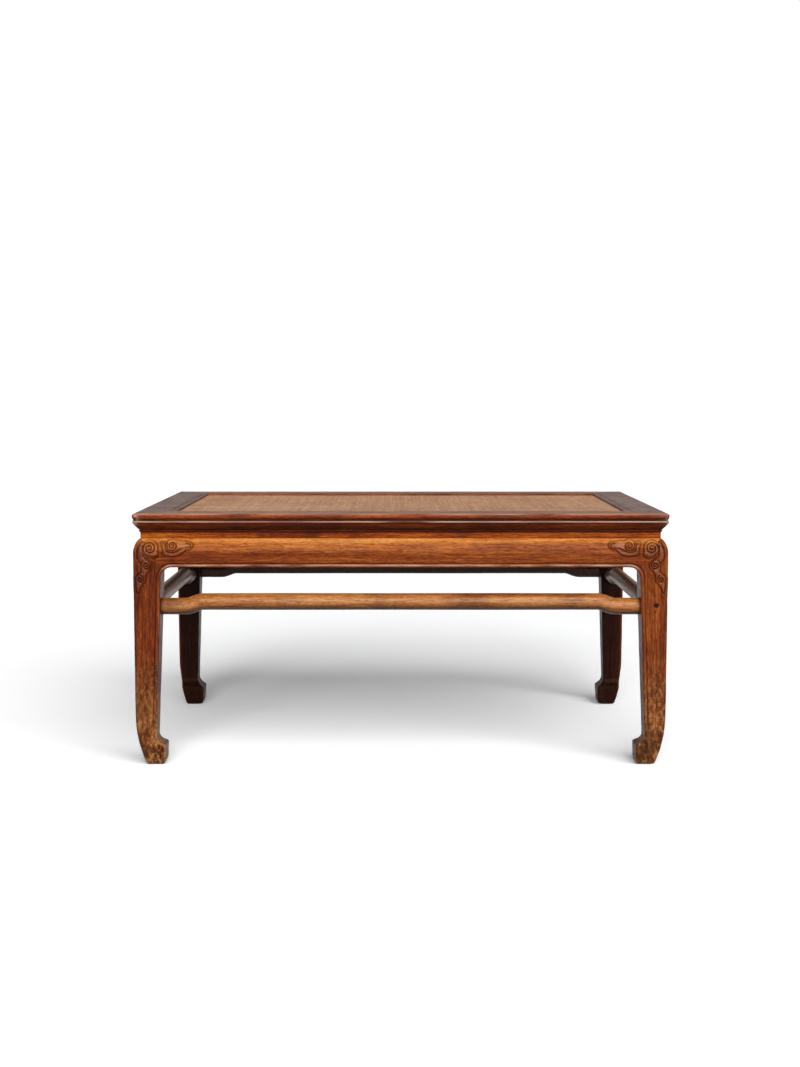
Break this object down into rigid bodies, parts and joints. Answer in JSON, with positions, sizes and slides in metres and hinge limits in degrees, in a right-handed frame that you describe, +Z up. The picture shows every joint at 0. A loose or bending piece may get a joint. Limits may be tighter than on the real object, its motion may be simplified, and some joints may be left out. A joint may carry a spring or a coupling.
{
  "type": "meditation stool",
  "caption": "Low waisted rectangular stool with a mitred frame, woven cane seat, cloud-carved shoulders, humpback stretchers and hoof feet.",
  "frame": {"origin": "centre of the stool's footprint, on the floor", "axes": "+X to the right along the long side, +Y to the back, +Z up"},
  "size_m": [1.037, 0.645, 0.496],
  "materials": {
    "frame_wood": "polished, worn",
    "apron_wood": "polished, straight grain",
    "leg_wood": "polished, worn at the feet",
    "stretcher_wood": "polished",
    "peg_wood": "end grain",
    "bamboo": "plain",
    "cane": "fine woven split cane",
    "palm_cord": "laid palm fibre cord"
  },
  "bodies": {
    "root": {"frame_rail_front": "frame_wood", "frame_rail_back": "frame_wood", "frame_rail_left": "frame_wood", "frame_rail_right": "frame_wood", "seat_strip_front": "frame_wood", "seat_strip_back": "frame_wood", "seat_strip_left": "frame_wood", "seat_strip_right": "frame_wood", "waist_front": "frame_wood", "waist_back": "frame_wood", "waist_left": "frame_wood", "waist_right": "frame_wood", "apron_front": "apron_wood", "apron_back": "apron_wood", "apron_left": "apron_wood", "apron_right": "apron_wood", "seat_brace_left": "apron_wood", "seat_brace_right": "apron_wood", "leg_front_left": "leg_wood", "leg_front_right": "leg_wood", "leg_back_left": "leg_wood", "leg_back_right": "leg_wood", "stretcher_front": "stretcher_wood", "stretcher_back": "stretcher_wood", "stretcher_left": "stretcher_wood", "stretcher_right": "stretcher_wood", "frame_corner_pegs": "peg_wood", "apron_dowels": "peg_wood", "stretcher_peg": "peg_wood", "seat_strip_pins": "bamboo", "lacing_pegs": "bamboo", "cane_mat": "cane", "palm_net": "palm_cord"}
  },
  "joints": []
}
